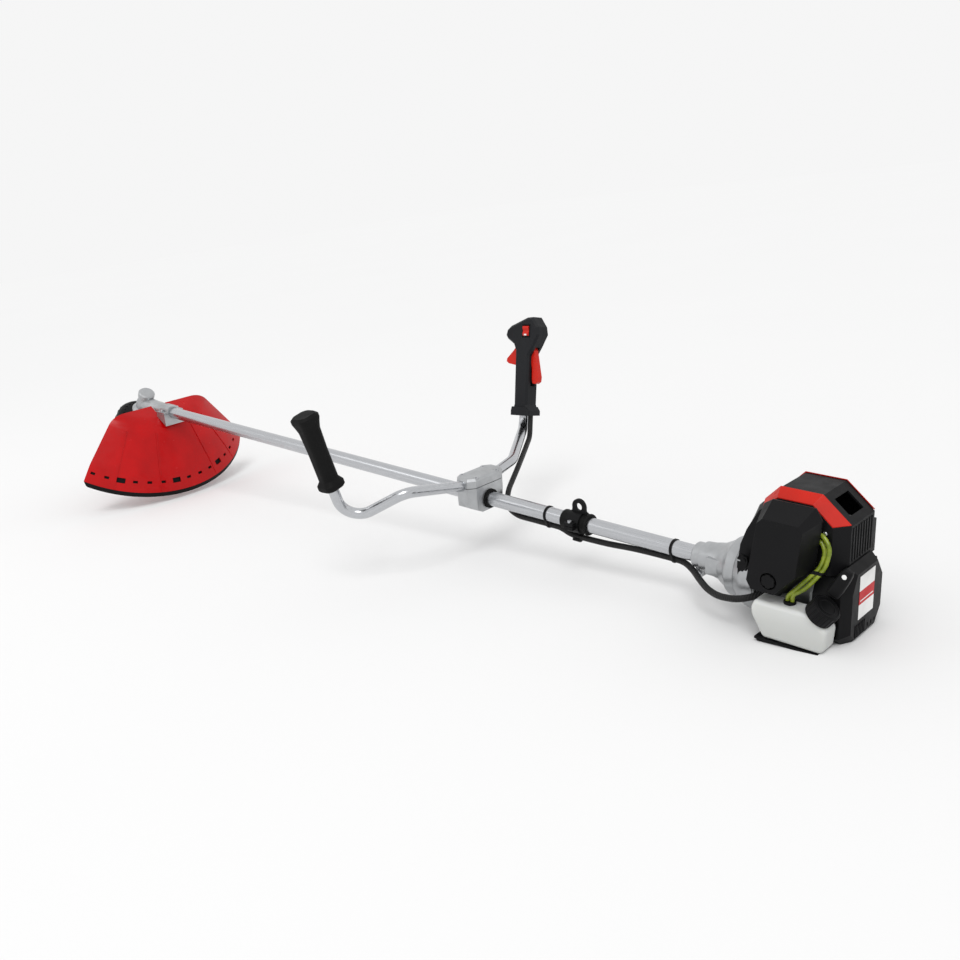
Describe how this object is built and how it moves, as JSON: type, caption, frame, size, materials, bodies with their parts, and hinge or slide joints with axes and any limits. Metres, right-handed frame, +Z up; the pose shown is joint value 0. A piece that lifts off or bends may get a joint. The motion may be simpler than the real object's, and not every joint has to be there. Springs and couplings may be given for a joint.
{
  "type": "brush cutter",
  "caption": "Petrol brush cutter with a long aluminium shaft, bull-horn handlebars, throttle handle, angled gearbox with a red guard and trimmer head, and a covered two-stroke engine.",
  "frame": {"origin": "centre of the harness eye on the hanger clamp", "axes": "+X along the shaft toward the engine, +Y the operator's right, +Z up, with the shaft level"},
  "size_m": [1.9511, 0.6075, 0.4565],
  "materials": {
    "aluminium_satin": "satin",
    "steel": "satin",
    "cast_aluminium": "cast",
    "black_plastic": "matte",
    "grey_plastic": "matte",
    "red_plastic": "gloss",
    "rubber": "matte",
    "trimmer_line": "satin",
    "exhaust_steel": "matte",
    "rope": "woven",
    "clear_rubber": "translucent",
    "foam": "open foam",
    "white_plastic": "translucent",
    "clear_line": "translucent"
  },
  "bodies": {
    "frame": {"shaft_tube": "aluminium_satin", "bearings": "steel", "gearbox_housing": "cast_aluminium", "guard": "red_plastic", "guard_skirt": "rubber", "line_cutter": "steel", "guard_bracket": "black_plastic", "left_handlebar": "aluminium_satin", "right_handlebar": "aluminium_satin", "handle_bracket": "cast_aluminium", "handle_cap": "cast_aluminium", "left_grip": "rubber", "throttle_handle_inner": "grey_plastic", "throttle_handle_outer": "grey_plastic", "shaft_rubbers": "rubber", "hanger_clamp": "cast_aluminium", "clamp_screws": "steel", "clutch_housing": "cast_aluminium", "fan_housing": "grey_plastic", "flywheel": "cast_aluminium", "crankshaft": "steel", "connecting_rod": "steel", "piston": "cast_aluminium", "crankcase": "cast_aluminium", "cylinder": "cast_aluminium", "spark_plug": "rubber", "muffler": "exhaust_steel", "muffler_guard": "black_plastic", "starter_housing": "black_plastic", "starter_rope": "rope", "carburettor": "cast_aluminium", "air_filter_case": "black_plastic", "air_filter_foam": "foam", "fuel_tank": "white_plastic", "tank_guard": "black_plastic", "tank_grommet": "rubber", "fuel_lines": "clear_line", "control_cable": "rubber", "cable_ties": "black_plastic", "engine_cover": "grey_plastic", "cover_trim": "red_plastic"},
    "drive_line": {"drive_shaft": "steel", "clutch_drum": "steel"},
    "cutting_head": {"output_spindle": "steel", "trimmer_head": "black_plastic", "line_spool": "black_plastic", "spool_cover": "black_plastic", "trimmer_lines": "trimmer_line"},
    "bump_knob": {"bump_knob": "black_plastic"},
    "throttle_trigger": {"throttle_trigger": "red_plastic"},
    "lockout_lever": {"lockout_lever": "red_plastic"},
    "ignition_switch": {"ignition_switch": "red_plastic"},
    "carb_throttle_lever": {"carb_throttle_lever": "steel"},
    "choke_lever": {"choke_lever": "black_plastic"},
    "primer_bulb": {"primer_bulb": "clear_rubber"},
    "filter_cover": {"air_filter_cover": "black_plastic"},
    "filter_knob": {"filter_knob": "black_plastic"},
    "fuel_cap": {"fuel_cap": "black_plastic"},
    "starter_pulley": {"starter_pulley": "black_plastic"},
    "starter_grip": {"starter_grip": "black_plastic"}
  },
  "joints": [
    {"name": "shaft_spin", "type": "hinge", "parent": "frame", "child": "drive_line", "pos_m": [-0.004, 0, -0.028], "axis": [1, 0, 0], "continuous": true},
    {"name": "head_spin", "type": "hinge", "parent": "frame", "child": "cutting_head", "pos_m": [-1.364, 0, -0.028], "axis": [0.5, 0, 0.866], "continuous": true},
    {"name": "bump_press", "type": "slide", "parent": "cutting_head", "child": "bump_knob", "axis": [0.5, 0, 0.866], "range_m": [0, 0.006], "stiffness_N_per_m": 600},
    {"name": "throttle_squeeze", "type": "hinge", "parent": "frame", "child": "throttle_trigger", "pos_m": [-0.35301, 0.28102, 0.1776], "axis": [0.0231, 0.9726, -0.2311], "range_deg": [-15, 0], "stiffness_Nm_per_rad": 0.3},
    {"name": "lockout_squeeze", "type": "hinge", "parent": "frame", "child": "lockout_lever", "pos_m": [-0.32993, 0.28055, 0.17795], "axis": [0.0231, 0.9726, -0.2311], "range_deg": [0, 6], "stiffness_Nm_per_rad": 0.3},
    {"name": "ignition_rock", "type": "hinge", "parent": "frame", "child": "ignition_switch", "pos_m": [-0.33489, 0.27587, 0.20751], "axis": [0.995, 0, 0.0995], "range_deg": [-6, 0]},
    {"name": "carb_throttle", "type": "hinge", "parent": "frame", "child": "carb_throttle_lever", "pos_m": [0.402, -0.0505, 0.07], "axis": [0, 0, 1], "range_deg": [-60, 0]},
    {"name": "choke_turn", "type": "hinge", "parent": "frame", "child": "choke_lever", "pos_m": [0.342, -0.065, 0.016], "axis": [0, 1, 0], "range_deg": [0, 70]},
    {"name": "primer_press", "type": "slide", "parent": "frame", "child": "primer_bulb", "axis": [0, 0, 1], "range_m": [0, 0.003], "stiffness_N_per_m": 400},
    {"name": "filter_cover_slide", "type": "slide", "parent": "frame", "child": "filter_cover", "axis": [0, -1, 0], "range_m": [0, 0.06]},
    {"name": "filter_knob_turn", "type": "hinge", "parent": "filter_cover", "child": "filter_knob", "pos_m": [0.396, -0.09, 0.01], "axis": [0, 1, 0], "continuous": true},
    {"name": "fuel_cap_lift", "type": "slide", "parent": "frame", "child": "fuel_cap", "axis": [0.6048, 0, 0.7964], "range_m": [0, 0.009]},
    {"name": "pulley_spin", "type": "hinge", "parent": "frame", "child": "starter_pulley", "pos_m": [0.454, 0, -0.028], "axis": [1, 0, 0], "range_deg": [0, 1200]},
    {"name": "starter_pull", "type": "slide", "parent": "frame", "child": "starter_grip", "axis": [0, -1, 0], "range_m": [0, 0.6]}
  ],
  "couplings": [
    {"joint": "head_spin", "follows": "shaft_spin", "ratio": 0.73684},
    {"joint": "carb_throttle", "follows": "throttle_squeeze", "ratio": 4},
    {"joint": "starter_pull", "follows": "pulley_spin", "m_per_rad": 0.028}
  ]
}
